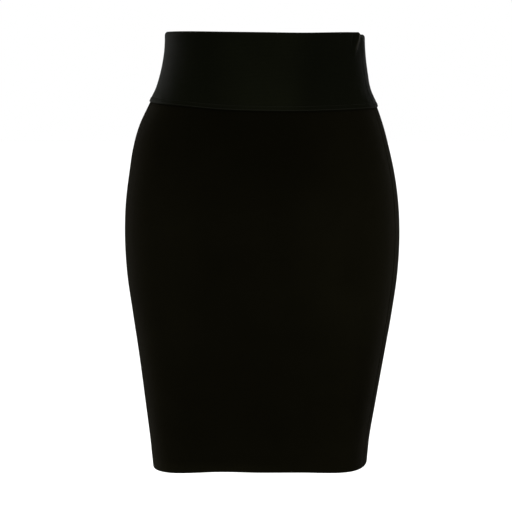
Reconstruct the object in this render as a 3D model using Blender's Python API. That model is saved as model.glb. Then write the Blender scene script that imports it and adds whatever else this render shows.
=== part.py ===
"""High-waisted pencil skirt with a wide elastic waistband, hollow and filled out as it is worn.

Run with: blender --background --python part.py

Metres, +Z up. The front faces -Y, and the wearer's left side faces +X. The origin is the centre
of the waist, 10 mm below the waistband's top edge, where the waistband is held.

Four cut pieces make the skirt: a front and a back of double jersey, and a front and a back of wide
elastic, which is lapped over the jersey's top edge. All four are walls laid on one surface, the
jersey's outer face. SECTIONS gives that surface at a few heights. EDGES gives the three lines that
run round it: the waistband's top edge, the waistband's lower edge and the hem.
"""

import math
from collections import namedtuple

import bmesh
import bpy
import numpy as np

MM = 0.001

# Cloth, in metres
JERSEY = 1.2 * MM  # thickness of the skirt's double jersey
ELASTIC = 1.2 * MM  # thickness of the waistband's elastic
SEAM_GAP = 0.3 * MM  # air between two pieces that are sewn together
LAP = 10 * MM  # how far the jersey runs up behind the waistband
HEM_DEPTH = 25 * MM  # height of the hem's turned-up layer, inside the skirt

# Side seams: how far each runs in front of the Z axis, at the waist and at the hem. The skirt has
# turned a little on its wearer, so the wearer's left seam shows in front and the right one doesn't.
LEFT_SEAM = (30 * MM, 46 * MM)
RIGHT_SEAM = (-12 * MM, -28 * MM)
HEM_LEVEL = -541 * MM  # the hem's mean height

# Where the waistband's two pieces meet at its top edge, at the wearer's left
NOTCH_DROP = 2.8 * MM  # the back starts this far below the front
NOTCH_REACH = 120.0  # degrees of the turn over which the back climbs to the common line
CORNER_DROP = 1.8 * MM  # the front's corner is rounded off by this much
CORNER_REACH = 3.0  # degrees of the turn

# Colour and roughness of the two cloths
JERSEY_FINISH = ((0.006, 0.005, 0.004), 0.9)
ELASTIC_FINISH = ((0.008, 0.008, 0.007), 0.6)

# Cells in each piece
COLUMNS = 40
BAND_ROWS = 8
SKIRT_ROWS = 24
HEM_ROWS = 3

# The jersey's outer face, in millimetres: how far the section's middle lies to the wearer's left,
# its half width, its depths in front of and behind the Z axis, and the power of its outline, where
# 2 gives an ellipse and more a squarer form.
Section = namedtuple("Section", "height middle half_width front back power")
SECTIONS = [
    Section(16, 0.0, 126.3, 91.5, 92.0, 2.2),
    Section(-14, -0.1, 127.1, 92.0, 93.0, 2.2),
    Section(-42, -1.0, 131.1, 93.6, 96.5, 2.2),
    Section(-62, -2.2, 136.4, 95.4, 100.5, 2.2),
    Section(-82, -2.9, 145.4, 98.0, 105.5, 2.2),
    Section(-107, -4.4, 155.4, 101.8, 112.0, 2.2),
    Section(-134, -4.8, 163.3, 105.4, 118.5, 2.2),
    Section(-168, -3.8, 169.3, 109.0, 125.0, 2.2),
    Section(-206, -3.5, 174.2, 111.4, 129.2, 2.2),
    Section(-246, -3.3, 175.7, 112.0, 130.0, 2.2),
    Section(-296, -3.2, 172.8, 110.8, 127.4, 2.25),
    Section(-346, -3.2, 165.7, 108.2, 121.4, 2.35),
    Section(-402, -4.0, 156.5, 104.6, 113.4, 2.5),
    Section(-460, -5.4, 147.4, 100.4, 105.6, 2.7),
    Section(-510, -6.5, 139.9, 97.0, 100.2, 2.85),
    Section(-548, -6.3, 136.0, 94.6, 97.0, 2.95),
]

# Heights of the three lines round the skirt, in millimetres, by the angle round the Z axis in
# degrees: 0 is the centre front, and 90 the wearer's left.
Edge = namedtuple("Edge", "angle top lap hem")
EDGES = [
    Edge(-180, 10.5, -82.0, -541.0),
    Edge(-135, 10.7, -80.0, -541.4),
    Edge(-90, 10.9, -78.4, -543.4),
    Edge(-60, 10.9, -82.3, -545.0),
    Edge(-30, 9.9, -87.6, -540.7),
    Edge(0, 9.2, -89.4, -541.3),
    Edge(30, 8.7, -89.7, -541.5),
    Edge(60, 9.8, -87.9, -543.6),
    Edge(90, 10.3, -84.8, -535.8),
    Edge(135, 10.4, -82.8, -540.0),
    Edge(180, 10.5, -82.0, -541.0),
]


def curve(xs, ys, x, closed=False):
    """Smooth curve through the points (xs, ys), read at x. A closed one goes on past its ends."""
    xs, ys = np.array(xs, float), np.array(ys, float)
    if closed:
        turn = xs[-1] - xs[0]
        xs = np.concatenate((xs[:-1] - turn, xs, xs[1:] + turn))
        ys = np.concatenate((ys[:-1], ys, ys[1:]))
    slopes = np.gradient(ys, xs)
    i = np.clip(np.searchsorted(xs, x) - 1, 0, len(xs) - 2)
    span = xs[i + 1] - xs[i]
    t = (x - xs[i]) / span
    rise = ys[i + 1] - ys[i]
    m0, m1 = slopes[i] * span, slopes[i + 1] * span
    return ys[i] + t * (m0 + t * (3 * rise - 2 * m0 - m1 + t * (m0 + m1 - 2 * rise)))


def section(name, height):
    """One column of SECTIONS at any height, in the table's own unit."""
    rows = sorted(SECTIONS)
    return curve([row.height * MM for row in rows], [getattr(row, name) for row in rows], height)


def edge(name, angle):
    """Height of one of the three lines at any angle."""
    heights = [getattr(row, name) * MM for row in EDGES]
    return curve([row.angle for row in EDGES], heights, angle, closed=True)


def surface(angle, height):
    """Points of the jersey's outer face at angles and heights, as an array (..., 3)."""
    sine, cosine = np.sin(np.radians(angle)), np.cos(np.radians(angle))
    half_width = section("half_width", height) * MM
    depth = np.where(cosine > 0, section("front", height), section("back", height)) * MM
    power = section("power", height)
    radius = (np.abs(sine / half_width) ** power + np.abs(cosine / depth) ** power) ** (-1 / power)
    x = radius * sine + section("middle", height) * MM
    return np.stack((x, -radius * cosine, height), axis=-1)


def moved_out(angle, height, distance):
    """The surface's points moved straight out by a distance, or in where it is negative."""
    step_angle, step_height = 0.05, 0.1 * MM
    around = surface(angle + step_angle, height) - surface(angle - step_angle, height)
    up = surface(angle, height + step_height) - surface(angle, height - step_height)
    normal = np.cross(around, up)
    normal /= np.linalg.norm(normal, axis=-1, keepdims=True)
    return surface(angle, height) + normal * distance[..., None]


def seam(forward, height):
    """How far round from the centre front a side seam is, and half its gap, both in degrees."""
    share = np.clip(height / HEM_LEVEL, 0, 1)
    forward = forward[0] * (1 - share) + forward[1] * share
    depth = np.where(forward > 0, section("front", height), section("back", height)) * MM
    power = section("power", height)
    half_width = section("half_width", height) * MM
    aside = half_width * (1 - (np.abs(forward) / depth) ** power) ** (1 / power)
    return np.degrees(np.arctan2(aside, forward)), np.degrees(SEAM_GAP / 2 / aside)


def front_angle(share, height):
    """Angle at a share of the way across a front piece, from the wearer's right to the left."""
    right, right_gap = seam(RIGHT_SEAM, height)
    left, left_gap = seam(LEFT_SEAM, height)
    return (right_gap - right) * (1 - share) + (left - left_gap) * share


def back_angle(share, height):
    """Angle at a share of the way across a back piece, from the wearer's left to the right."""
    right, right_gap = seam(RIGHT_SEAM, height)
    left, left_gap = seam(LEFT_SEAM, height)
    return (left + left_gap) * (1 - share) + (360 - right - right_gap) * share


def line(name, share, angle_at):
    """Heights of one of the three lines along a piece, and the angles there."""
    mean_height = np.mean([getattr(row, name) for row in EDGES]) * MM
    angle = angle_at(share, np.full_like(share, mean_height))
    return edge(name, angle), angle


def rows_between(start, end, count):
    """count + 1 rows of heights from one line to another, as an array (columns, rows)."""
    return start[:, None] + (end - start)[:, None] * np.linspace(0, 1, count + 1)


def band_heights(share, angle_at):
    """Rows of heights of a waistband piece, top down, with the notch at the wearer's left seam."""
    top, angle = line("top", share, angle_at)
    lower, _ = line("lap", share, angle_at)
    is_front = angle_at is front_angle
    drop = CORNER_DROP if is_front else NOTCH_DROP
    reach = CORNER_REACH if is_front else NOTCH_REACH
    away = np.clip(np.abs(angle - seam(LEFT_SEAM, top)[0]) / reach, 0, 1)
    dropped = top - drop * (1 + np.cos(np.pi * away)) / 2
    return rows_between(dropped, lower, BAND_ROWS)


def skirt_heights(share, angle_at):
    """Rows of heights of a skirt piece, top down, and how many layers thick the cloth is there."""
    top, _ = line("lap", share, angle_at)
    hem, _ = line("hem", share, angle_at)
    single = rows_between(top + LAP, hem + HEM_DEPTH, SKIRT_ROWS)
    double = rows_between(hem + HEM_DEPTH - JERSEY / 2, hem, HEM_ROWS)
    heights = np.concatenate((single, double), axis=1)
    layers = np.ones_like(heights)
    layers[:, SKIRT_ROWS + 1 :] = 2
    return heights, layers


def wall(name, outer, inner, material):
    """One cut piece: a closed wall between two grids of points, (columns, rows, 3)."""
    mesh = bmesh.new()
    out = [[mesh.verts.new(point) for point in column] for column in outer]
    into = [[mesh.verts.new(point) for point in column] for column in inner]
    last_column, last_row = len(out) - 1, len(out[0]) - 1
    for c in range(last_column):
        for r in range(last_row):
            mesh.faces.new((out[c][r], out[c][r + 1], out[c + 1][r + 1], out[c + 1][r]))
            mesh.faces.new((into[c][r], into[c + 1][r], into[c + 1][r + 1], into[c][r + 1]))
        for r in (0, last_row):
            mesh.faces.new((out[c][r], out[c + 1][r], into[c + 1][r], into[c][r]))
    for c in (0, last_column):
        for r in range(last_row):
            mesh.faces.new((out[c][r], into[c][r], into[c][r + 1], out[c][r + 1]))
    bmesh.ops.recalc_face_normals(mesh, faces=mesh.faces[:])
    data = bpy.data.meshes.new(name)
    mesh.to_mesh(data)
    mesh.free()
    data.shade_smooth()
    data.set_sharp_from_angle(angle=math.radians(40))
    data.materials.append(material)
    piece = bpy.data.objects.new(name, data)
    bpy.context.scene.collection.objects.link(piece)


def band_piece(name, angle_at, material):
    """A waistband piece, lying on the jersey with the seam's gap under it."""
    share = np.linspace(0, 1, COLUMNS + 1)
    height = band_heights(share, angle_at)
    angle = angle_at(share[:, None], height)
    inner = np.full_like(height, SEAM_GAP)
    wall(name, moved_out(angle, height, inner + ELASTIC), moved_out(angle, height, inner), material)


def skirt_piece(name, angle_at, material):
    """A skirt piece, which doubles inwards at the hem."""
    share = np.linspace(0, 1, COLUMNS + 1)
    height, layers = skirt_heights(share, angle_at)
    angle = angle_at(share[:, None], height)
    wall(name, surface(angle, height), moved_out(angle, height, -JERSEY * layers), material)


def cloth(name, colour, roughness):
    """A plain cloth material."""
    material = bpy.data.materials.new(name)
    material.use_nodes = True
    shader = material.node_tree.nodes["Principled BSDF"]
    shader.inputs["Base Color"].default_value = (*colour, 1)
    shader.inputs["Roughness"].default_value = roughness
    shader.inputs["Metallic"].default_value = 0.0
    return material


def build():
    """Clears the scene and makes the four pieces."""
    for obj in list(bpy.data.objects):
        bpy.data.objects.remove(obj)
    for side, angle_at in (("front", front_angle), ("back", back_angle)):
        skirt_piece(f"skirt_{side}", angle_at, cloth(f"jersey_{side}", *JERSEY_FINISH))
        band_piece(f"waistband_{side}", angle_at, cloth(f"elastic_{side}", *ELASTIC_FINISH))


build()
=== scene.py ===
# %% [markdown]
# # A black pencil skirt with a wide elastic waistband
#
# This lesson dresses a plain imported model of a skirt, whose four walls fix every size and place.
# Each wall is replaced by a finer piece of cloth of the same form: a front and a back of double
# jersey, and a front and a back of wide elastic. Then come the sewing, the two cloths' surfaces
# and a plain studio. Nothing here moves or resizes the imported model.

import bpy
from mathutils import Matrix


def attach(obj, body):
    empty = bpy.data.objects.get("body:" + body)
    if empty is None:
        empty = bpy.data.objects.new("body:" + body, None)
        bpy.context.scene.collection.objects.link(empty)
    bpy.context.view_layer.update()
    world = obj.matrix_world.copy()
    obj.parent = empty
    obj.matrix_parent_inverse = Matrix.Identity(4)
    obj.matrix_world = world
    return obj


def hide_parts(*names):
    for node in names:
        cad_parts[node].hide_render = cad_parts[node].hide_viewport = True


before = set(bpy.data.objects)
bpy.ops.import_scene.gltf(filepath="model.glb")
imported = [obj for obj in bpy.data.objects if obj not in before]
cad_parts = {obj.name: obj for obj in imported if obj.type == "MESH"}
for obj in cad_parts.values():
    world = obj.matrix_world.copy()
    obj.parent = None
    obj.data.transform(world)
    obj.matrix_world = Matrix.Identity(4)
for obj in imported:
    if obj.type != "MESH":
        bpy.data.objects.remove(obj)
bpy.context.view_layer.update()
print("packed nodes:", ", ".join(sorted(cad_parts)))

# %% [markdown]
# Cloth of an exact cut is easier to compute than to sculpt, so NumPy works out whole rows of points
# at once, and Blender turns them into meshes. All lengths are in metres, Blender's own unit, and
# are written in millimetres times MM, as a maker would say them.

# %% Modules and the unit
import math
from collections import namedtuple

import bpy
import numpy as np

MM = 0.001
print("Blender", bpy.app.version_string)

# %% [markdown]
# ## The sizes of the cloth
#
# A maker cuts four pieces: two panels of jersey and two lengths of elastic. The elastic is lapped
# 10 mm over the jersey's top edge and held by two rows of stitches near its own lower edge. The hem
# is turned up 25 mm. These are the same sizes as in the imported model, with a few finer ones added.

# %% Sizes of the cloth and its edges
JERSEY = 1.2 * MM  # thickness of the double jersey
ELASTIC = 1.2 * MM  # thickness of the elastic
LAYER_GAP = 0.3 * MM  # air between the jersey and the elastic that lies on it
SEAM_GAP = 0.1 * MM  # air left in a side seam that is drawn tight
LAP = 10 * MM  # how far the jersey runs up behind the waistband
HEM_DEPTH = 25 * MM  # height of the hem's turned-up layer
RIM = 5 * MM  # radius of the roll at the waistband's top edge
SEAM_ROLL = 1.0 * MM  # radius to which a panel's face turns in at a side seam
STITCH_LINES = (1.4 * MM, 6 * MM)  # heights of the twin stitching above the waistband's lower edge
THREADS = (0.24 * MM, 0.15 * MM)  # radius of each row's thread
print(f"jersey {JERSEY / MM} mm, elastic {ELASTIC / MM} mm, hem {HEM_DEPTH / MM} mm")

# %% [markdown]
# ## The form
#
# A skirt that is filled out is a tube, so its form can be told in sections: at each height, how
# wide it is, how deep in front and behind, and how square its outline is. A superellipse does all
# of that with one power, where 2 is an ellipse and more is squarer. A smooth curve through the
# table gives the section at any height, so the mesh can be as fine as it needs to be while the
# table stays short enough to edit by hand.

# %% The jersey's outer face, as sections from the waist down
Section = namedtuple("Section", "height middle half_width front back power")
SECTIONS = [  # millimetres, apart from the power
    Section(16, 0.0, 125.5, 91.5, 92.0, 2.2),
    Section(-14, -0.1, 126.5, 92.0, 93.0, 2.2),
    Section(-42, -1.0, 130.6, 93.6, 96.5, 2.2),
    Section(-62, -2.2, 135.5, 95.4, 100.5, 2.2),
    Section(-82, -2.9, 144.7, 98.0, 105.5, 2.2),
    Section(-107, -4.4, 154.9, 101.8, 112.0, 2.2),
    Section(-134, -4.8, 162.5, 105.4, 118.5, 2.2),
    Section(-168, -3.8, 169.0, 109.0, 125.0, 2.2),
    Section(-206, -3.5, 173.9, 111.4, 129.2, 2.2),
    Section(-246, -3.3, 175.4, 112.0, 130.0, 2.2),
    Section(-296, -3.2, 172.8, 110.8, 127.4, 2.25),
    Section(-346, -3.2, 165.7, 108.2, 121.4, 2.35),
    Section(-402, -4.0, 156.5, 104.6, 113.4, 2.5),
    Section(-460, -5.4, 147.4, 100.4, 105.6, 2.7),
    Section(-510, -6.5, 139.9, 97.0, 100.2, 2.85),
    Section(-548, -6.3, 136.0, 94.6, 97.0, 2.95),
]
print(len(SECTIONS), "sections")

# %% [markdown]
# The waistband's two edges and the hem aren't level on a worn skirt: they dip in front and rise or
# drop a little at the sides. So each has its height at a few places round the form.

# %% The three lines round the skirt
Edge = namedtuple("Edge", "angle top lap hem")  # lap: the waistband's lower edge, on the jersey
EDGES = [  # degrees from the centre front towards the wearer's left, and millimetres
    Edge(-180, 10.5, -82.0, -541.0),
    Edge(-135, 10.7, -80.0, -541.4),
    Edge(-90, 10.9, -78.4, -543.4),
    Edge(-60, 10.9, -82.3, -545.0),
    Edge(-30, 9.9, -87.6, -540.7),
    Edge(0, 9.2, -89.4, -541.3),
    Edge(30, 8.7, -89.7, -541.5),
    Edge(60, 9.8, -87.9, -543.6),
    Edge(90, 10.3, -84.8, -535.8),
    Edge(135, 10.4, -82.8, -540.0),
    Edge(180, 10.5, -82.0, -541.0),
]
print(len(EDGES), "places round the three lines")

# %% [markdown]
# Both tables are read with the same cubic curve, whose slopes come from the neighbouring rows. It
# passes through every row and has no corners, which matters on cloth that is pulled smooth: the
# eye finds a corner in a reflection long before it finds one in an outline.


# %% Read the tables
def curve(xs, ys, x, closed=False):
    """Smooth curve through the points (xs, ys), read at x. A closed one goes on past its ends."""
    xs, ys = np.array(xs, float), np.array(ys, float)
    if closed:
        turn = xs[-1] - xs[0]
        xs = np.concatenate((xs[:-1] - turn, xs, xs[1:] + turn))
        ys = np.concatenate((ys[:-1], ys, ys[1:]))
    slopes = np.gradient(ys, xs)
    i = np.clip(np.searchsorted(xs, x) - 1, 0, len(xs) - 2)
    span = xs[i + 1] - xs[i]
    t = (x - xs[i]) / span
    rise = ys[i + 1] - ys[i]
    m0, m1 = slopes[i] * span, slopes[i + 1] * span
    return ys[i] + t * (m0 + t * (3 * rise - 2 * m0 - m1 + t * (m0 + m1 - 2 * rise)))


def section(name, height):
    """One column of SECTIONS at any height, in the table's own unit."""
    rows = sorted(SECTIONS)
    return curve([row.height * MM for row in rows], [getattr(row, name) for row in rows], height)


def edge(name, angle):
    """Height of one of the three lines at any angle."""
    heights = [getattr(row, name) * MM for row in EDGES]
    return curve([row.angle for row in EDGES], heights, angle, closed=True)


HIPS = -246 * MM
print(f"half width at the hips {section('half_width', HIPS):.1f} mm")


# %% [markdown]
# Every piece of cloth lies on the form or a little beside it, so two functions serve them all: one
# gives a point of the form at an angle and a height, and one moves such a point straight out. A
# Shrinkwrap modifier could bring a mesh to the form too, but then its thickness and its seams would
# be hard to keep exact.


# %% Points on the form, and beside it
def surface(angle, height):
    """Points of the jersey's outer face at angles and heights, as an array (..., 3)."""
    sine, cosine = np.sin(np.radians(angle)), np.cos(np.radians(angle))
    half_width = section("half_width", height) * MM
    depth = np.where(cosine > 0, section("front", height), section("back", height)) * MM
    power = section("power", height)
    radius = (np.abs(sine / half_width) ** power + np.abs(cosine / depth) ** power) ** (-1 / power)
    x = radius * sine + section("middle", height) * MM
    return np.stack((x, -radius * cosine, height), axis=-1)


def outward(angle, height):
    """The way straight out of the form at angles and heights."""
    step_angle, step_height = 0.05, 0.1 * MM
    around = surface(angle + step_angle, height) - surface(angle - step_angle, height)
    up = surface(angle, height + step_height) - surface(angle, height - step_height)
    normal = np.cross(around, up)
    return normal / np.linalg.norm(normal, axis=-1, keepdims=True)


def moved_out(angle, height, distance):
    """The form's points moved straight out by a distance, or in where it is negative."""
    return surface(angle, height) + outward(angle, height) * distance[..., None]


hip_line = surface(np.arange(361.0), np.full(361, HIPS))
hip_girth = np.linalg.norm(np.diff(hip_line, axis=0), axis=1).sum()
print(f"girth at the hips {hip_girth / MM:.0f} mm")


# %% [markdown]
# The side seams aren't at the sides exactly. The skirt has turned a little on its wearer, so the
# wearer's left seam lies in front of the side and drifts forwards down to the hem, and the right
# seam lies behind the side. A piece is then a stretch of the form between two seams, and a share
# of 0 to 1 says how far across it a point is.

# %% Side seams, and the two ways across the skirt
LEFT_SEAM = (30 * MM, 46 * MM)  # how far in front of the Z axis, at the waist and at the hem
RIGHT_SEAM = (-12 * MM, -28 * MM)
HEM_LEVEL = -541 * MM


def seam(forward, height):
    """How far round from the centre front a side seam is, and half its gap, both in degrees."""
    share = np.clip(height / HEM_LEVEL, 0, 1)
    forward = forward[0] * (1 - share) + forward[1] * share
    depth = np.where(forward > 0, section("front", height), section("back", height)) * MM
    power = section("power", height)
    half_width = section("half_width", height) * MM
    aside = half_width * (1 - (np.abs(forward) / depth) ** power) ** (1 / power)
    return np.degrees(np.arctan2(aside, forward)), np.degrees(SEAM_GAP / 2 / aside)


def front_angle(share, height):
    """Angle at a share of the way across a front piece, from the wearer's right to the left."""
    right, right_gap = seam(RIGHT_SEAM, height)
    left, left_gap = seam(LEFT_SEAM, height)
    return (right_gap - right) * (1 - share) + (left - left_gap) * share


def back_angle(share, height):
    """Angle at a share of the way across a back piece, from the wearer's left to the right."""
    right, right_gap = seam(RIGHT_SEAM, height)
    left, left_gap = seam(LEFT_SEAM, height)
    return (left + left_gap) * (1 - share) + (360 - right - right_gap) * share


SIDES = {"front": front_angle, "back": back_angle}


def line(name, share, angle_at):
    """Heights of one of the three lines along a piece, and the angles there."""
    mean_height = np.mean([getattr(row, name) for row in EDGES]) * MM
    angle = angle_at(share, np.full_like(share, mean_height))
    return edge(name, angle), angle


seam_angles = [seam(LEFT_SEAM, 0.0)[0], -seam(RIGHT_SEAM, 0.0)[0]]
print("side seams at", ", ".join(f"{angle:.0f}" for angle in seam_angles), "degrees at the waist")

# %% [markdown]
# ## One piece of cloth as a closed mesh
#
# Cloth has a thickness, and its cut edges show it, so a piece isn't a single sheet of faces. Here
# each column of points goes once round the cloth's section: down its outer face, round the lower
# edge, up its inner face and round the top edge. A row of such columns side by side is a closed
# shell. A Solidify modifier could thicken a sheet too, but it couldn't turn up the hem or roll the
# waistband's rim, and here both are simply part of the section.
#
# The mesh also gets a UV map called "cloth", in metres on the flat cloth: how far across the piece
# from its middle, and how far down. Every knit and weave below follows that map, so the wales run
# straight down the panel whatever the form does.

# %% Flat places on the cloth
CLOTH_MAP = "cloth"


def add_object(name, mesh):
    """An object at the origin, unturned and unscaled, in the scene."""
    piece = bpy.data.objects.new(name, mesh)
    bpy.context.scene.collection.objects.link(piece)
    return piece


def flat_places(angle, height, points):
    """Places on the flat cloth: across from the piece's middle, and down the section's outline."""
    lengths = np.linalg.norm(np.diff(surface(angle, height), axis=0), axis=-1)
    across = np.concatenate((np.zeros((1, angle.shape[1])), np.cumsum(lengths, axis=0)))
    steps = np.linalg.norm(np.diff(points, axis=1), axis=-1)
    down = np.concatenate((np.zeros((len(angle), 1)), np.cumsum(steps, axis=1)), axis=1)
    return across - across[-1] / 2, down


print("flat map:", CLOTH_MAP)


# %% The closed shell
def shell(name, points, across, down):
    """Closed mesh of columns of points, each going once round the cloth's section."""
    columns, places = points.shape[:2]
    index = np.arange(columns * places).reshape(columns, places)
    after = np.roll(index, -1, axis=1)
    skin = np.stack((index[:-1], after[:-1], after[1:], index[1:]), axis=-1).reshape(-1, 4)
    outer, inner = index[:, : places // 2], index[:, : places // 2 - 1 : -1]
    first = np.stack((outer[0, :-1], inner[0, :-1], inner[0, 1:], outer[0, 1:]), axis=-1)
    last = np.stack((outer[-1, :-1], outer[-1, 1:], inner[-1, 1:], inner[-1, :-1]), axis=-1)
    faces = np.concatenate((skin, first, last))
    mesh = bpy.data.meshes.new(name)
    mesh.from_pydata(points.reshape(-1, 3).tolist(), [], faces.tolist())
    mesh.shade_smooth()
    places_flat = np.stack((across, down), axis=-1)
    after_flat = np.concatenate((places_flat[:, 1:], places_flat[:, -1:]), axis=1)
    skin_map = np.stack(
        (places_flat[:-1], after_flat[:-1], after_flat[1:], places_flat[1:]), axis=2
    )
    ends_map = places_flat.reshape(-1, 2)[np.concatenate((first, last)).ravel()]
    corners = np.concatenate((skin_map.reshape(-1, 2), ends_map))
    mesh.uv_layers.new(name=CLOTH_MAP).data.foreach_set("uv", corners.ravel())
    return add_object(name, mesh)


# %% [markdown]
# The columns don't stand at even steps. At a side seam the cloth turns in over its own thickness,
# so the last millimetre has seven columns, and a puckered stretch has them closer together too.
# The rest is smooth and needs far fewer.

# %% Columns across a piece
FINE_SPACING = 1.1 * MM  # between columns where the cloth is puckered
ROLL_SHARES = np.array([0, 0.1, 0.25, 0.45, 0.7, 1.0, 1.5])  # of the seam's roll


def shares_across(width, spacing, fine_width=0.0):
    """Shares across a piece, closer together along its first stretch and at the seams' rolls."""
    roll = ROLL_SHARES * SEAM_ROLL / width
    turn = max(fine_width / width, roll[-1])
    fine = np.linspace(roll[-1], turn, 1 + round(fine_width / FINE_SPACING))[:-1]
    coarse = np.linspace(turn, 1 - roll[-1], round((width - fine_width) / spacing))
    return np.concatenate((roll[:-1], fine, coarse, 1 - roll[-2::-1]))


def seam_roll(share, width):
    """How far a face has turned in at a share of the way across, next to the side seams."""
    near = np.clip(1 - np.minimum(share, 1 - share) * width / SEAM_ROLL, 0, 1)
    return SEAM_ROLL * (1 - np.sqrt(1 - near**2))


print(len(ROLL_SHARES), "columns on a seam's roll")

# %% [markdown]
# ## Creases
#
# This cloth stretches smooth over the hips, so it has few folds and they are shallow. Each is placed
# as a soft trough or ridge along a short line on the flat cloth. A row of the table says where the
# line starts and ends, how wide the crease is to either side, and how deep: positive for a ridge,
# negative for a trough. The crease swells from nothing at one end of its line and dies away at the
# other, as a real one does.

# %% How a crease lifts the cloth
Crease = namedtuple("Crease", "across height end_across end_height width depth")


def creased(across, height, table):
    """How far the creases of a table lift the cloth at places across and heights, in metres."""
    lift = np.zeros_like(across)
    for row in table:
        x, z, end_x, end_z, width, depth = (value * MM for value in row)
        run_x, run_z = end_x - x, end_z - z
        length = math.hypot(run_x, run_z)
        along = ((across - x) * run_x + (height - z) * run_z) / length**2
        aside = ((height - z) * run_x - (across - x) * run_z) / length
        beyond = np.maximum(np.abs(along - 0.5) - 0.5, 0) * length
        swell = 0.5 - 0.5 * np.cos(2 * math.pi * np.clip(along, 0, 1))
        lift += depth * swell**0.7 * np.exp(-(aside**2 + beyond**2) / width**2)
    return lift


print("a crease has", ", ".join(Crease._fields))

# %% [markdown]
# In front the cloth is drawn from the hips down to the hem and up to the waistband, so its creases
# are long and slant that way. Behind, more of them run across under the seat, where the cloth
# folds when its wearer sits.

# %% The creases of both panels
# Millimetres across from the panel's middle, towards the viewer's right, and heights
FRONT_CREASES = [
    Crease(-96, -96, -62, -168, 11, -0.45),
    Crease(-58, -94, -50, -132, 7, -0.25),
    Crease(-18, -98, -24, -150, 9, 0.3),
    Crease(33, -97, 41, -138, 8, -0.3),
    Crease(88, -92, 70, -190, 13, 0.5),
    Crease(-172, -232, -92, -214, 12, 0.45),
    Crease(176, -268, 84, -236, 15, -0.5),
    Crease(14, -288, 4, -352, 12, 0.45),
    Crease(-64, -330, -40, -470, 20, -0.6),
    Crease(72, -372, 62, -512, 22, 0.55),
]
BACK_CREASES = [
    Crease(-112, -90, -96, -176, 11, -0.8),
    Crease(-61, -90, -48, -151, 8, 0.6),
    Crease(-12, -91, -9, -139, 7, -0.7),
    Crease(39, -90, 50, -166, 10, 0.8),
    Crease(104, -91, 83, -143, 8, -0.6),
    Crease(-206, -262, -88, -301, 12, -1.0),
    Crease(203, -278, 106, -322, 14, -1.1),
    Crease(-72, -356, 38, -369, 10, 0.9),
    Crease(84, -384, -6, -401, 9, -0.7),
    Crease(-46, -410, -58, -525, 24, 0.9),
    Crease(66, -430, 52, -532, 19, -0.8),
]
print(len(FRONT_CREASES), "creases in front,", len(BACK_CREASES), "behind")

# %% [markdown]
# ## The jersey panels
#
# Each panel's section runs down the outer face, folds inwards at the hem with the radius of the
# cloth's own thickness, comes up 25 mm as a second layer, steps down off that layer's cut edge and
# goes on up the inner face. The turned-up edge shows through on the outside as a very faint ridge.

# %% Section of a jersey panel
SKIRT_ROWS = 176
HEM_ROWS = 10
TOP_CORNER = np.array([(0.0, 0.35), (0.25, 0.05)]) * MM  # below the top edge, and in from the face
STEP = np.array([(0.0, 1.95), (0.35, 1.7), (0.55, 1.4), (0.5, 1.15)])  # up, and in, in thicknesses
SHOW_THROUGH = 0.15 * MM
PRESSED = 0.2 * MM  # how far the top edge stands out, pressed against the elastic


def jersey_section(top, hem):
    """Heights and distances out from the form, once round a jersey panel's section."""
    turn = np.linspace(0, math.pi, 10)
    fold = hem[:, None] + JERSEY * (1 - np.sin(turn))
    fold_out = JERSEY * (np.cos(turn) - 1)
    corner = top[:, None] - TOP_CORNER[:, 0]
    start, turn_up = fold[:, :1], hem[:, None] + HEM_DEPTH
    rows = np.linspace(0, 1, SKIRT_ROWS + 2)[1:-1]
    outer = corner[:, 1:] + (start - corner[:, 1:]) * rows
    double = start + (turn_up - start) * np.linspace(0, 1, HEM_ROWS + 1)[1:]
    step = turn_up + STEP[:, 0] * JERSEY
    rest = SKIRT_ROWS - HEM_ROWS - len(STEP)
    single = step[:, -1:] + (corner[:, 1:] - step[:, -1:]) * np.linspace(0, 1, rest + 2)[1:-1]
    heights = (corner, outer, fold, double, step, single, corner[:, ::-1])
    outs = (
        -TOP_CORNER[:, 1],
        np.zeros(SKIRT_ROWS),
        fold_out,
        np.full(HEM_ROWS, -2 * JERSEY),
        -STEP[:, 1] * JERSEY,
        np.full(rest, -JERSEY),
        TOP_CORNER[::-1, 1] - JERSEY,
    )
    height = np.concatenate(heights, axis=1)
    return height, np.tile(np.concatenate(outs), (len(top), 1))


hem_level = np.array([HEM_LEVEL])
print(jersey_section(np.zeros(1), hem_level)[0].size, "points round the jersey's section")

# %% [markdown]
# Stretched knit looks lighter, because its stitches open and their shadows thin out. So each point
# also carries a number that says how far the cloth is stretched there: little just under the
# waistband, where the panel is eased in, and more round the hips. The same number also holds painted
# light and shade. It is raised towards the sides, most on the wearer's left, where the light falls.
# It is lowered a little near that side's edge further down, and it is highest over the fold of the
# hem, as a painted highlight. Painting it by hand in Weight Paint would do too. A table of soft-edged
# zones is easier to change one number at a time.

# %% Where the cloth is stretched, and where light and shade are painted
STRETCH_AND_SHADE = "stretch_and_shade"  # attribute: 0 for slack cloth, 1 for fully stretched, also raised and lowered in places as painted light and shade
Zone = namedtuple("Zone", "amount across_from across_to down_from down_to")
ALL = (-1001, -1000)  # a zone that starts here takes in everything

# Millimetres across from the middle, towards the wearer's left, and down from the waist
JERSEY_BASE = 0.38
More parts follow.
